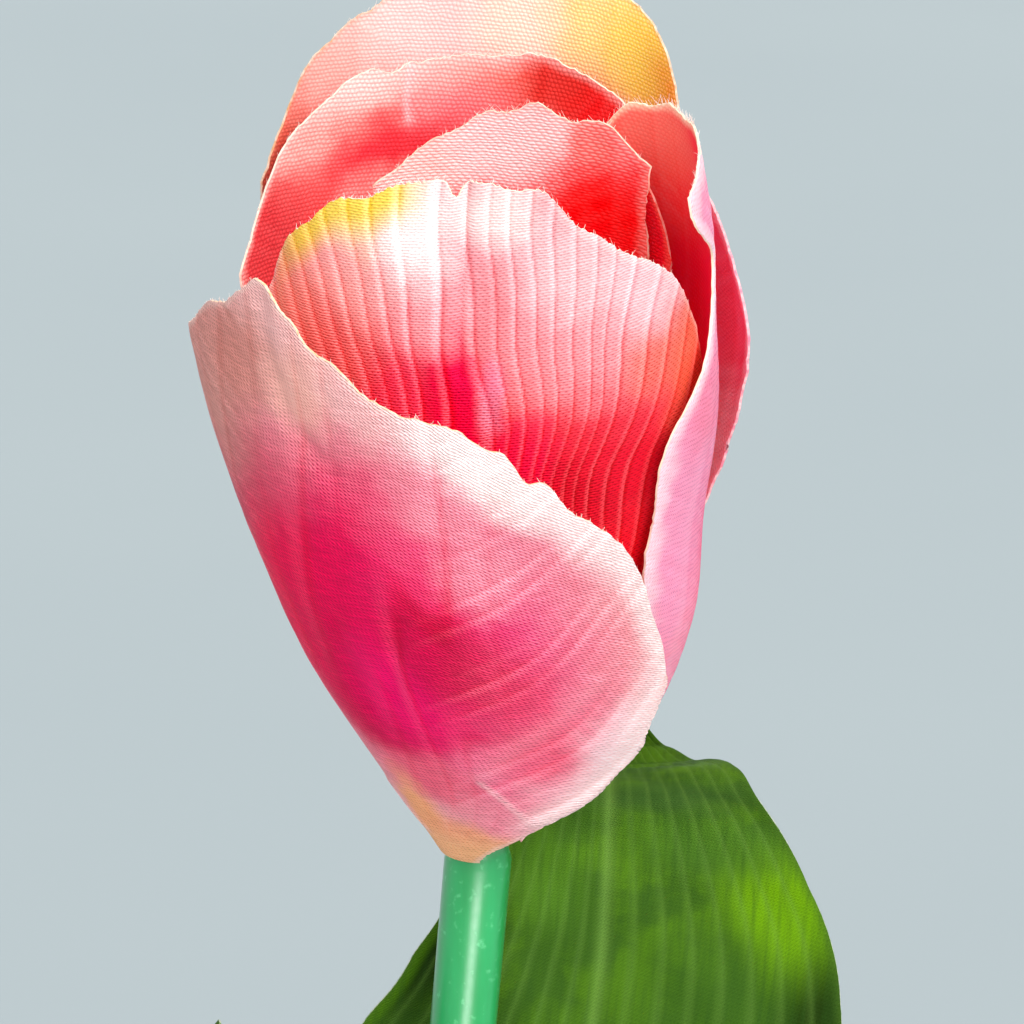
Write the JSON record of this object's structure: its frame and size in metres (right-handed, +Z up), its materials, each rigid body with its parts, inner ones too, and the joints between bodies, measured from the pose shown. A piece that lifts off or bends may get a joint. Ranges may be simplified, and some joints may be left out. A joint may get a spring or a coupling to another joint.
{
  "type": "artificial tulip in a vase",
  "caption": "Single cut tulip made of pressed cloth petals and leaves on a wired plastic stem, leaning in the narrow neck of a plain glazed vase.",
  "frame": {"origin": "centre of the vase's flat underside, on the surface it stands on", "axes": "+Z up along the vase's axis; the front of the flower, which opens and leans a little that way, faces -Y; +X is to the viewer's right"},
  "size_m": [0.0817, 0.068, 0.3301],
  "materials": {
    "vase_glaze": "warm white glazed stoneware, bare clay under the foot",
    "stem_plastic": "moulded polyethylene, mint green, satin",
    "stem_wire": "drawn steel wire",
    "leaf_cloth": "printed and pressed polyester cloth, green with paler veins",
    "petal_inner_back": "innermost cloth petal at the back, red-pink inside face",
    "petal_inner_right": "small innermost cloth petal at the right",
    "petal_inner_front": "innermost ribbed cloth petal at the front, pink with a white and yellow rim",
    "petal_back_left": "middle-row cloth petal at the back left, coarse satin weave",
    "petal_right": "middle-row cloth petal at the right, pink outside and crimson inside",
    "petal_far_right": "outer-row cloth petal at the back right, crimson with a pale rim",
    "petal_back": "outer-row cloth petal at the back, salmon to yellow rim",
    "petal_front_left": "outer-row cloth petal at the front left, magenta with a dusty pink rim"
  },
  "bodies": {
    "root": {"vase": "vase_glaze", "stem": "stem_plastic", "stem_wire": "stem_wire", "leaf_back": "leaf_cloth", "leaf_left": "leaf_cloth", "petal_inner_back": "petal_inner_back", "petal_inner_right": "petal_inner_right", "petal_inner_front": "petal_inner_front", "petal_back_left": "petal_back_left", "petal_right": "petal_right", "petal_far_right": "petal_far_right", "petal_back": "petal_back", "petal_front_left": "petal_front_left"}
  },
  "joints": []
}
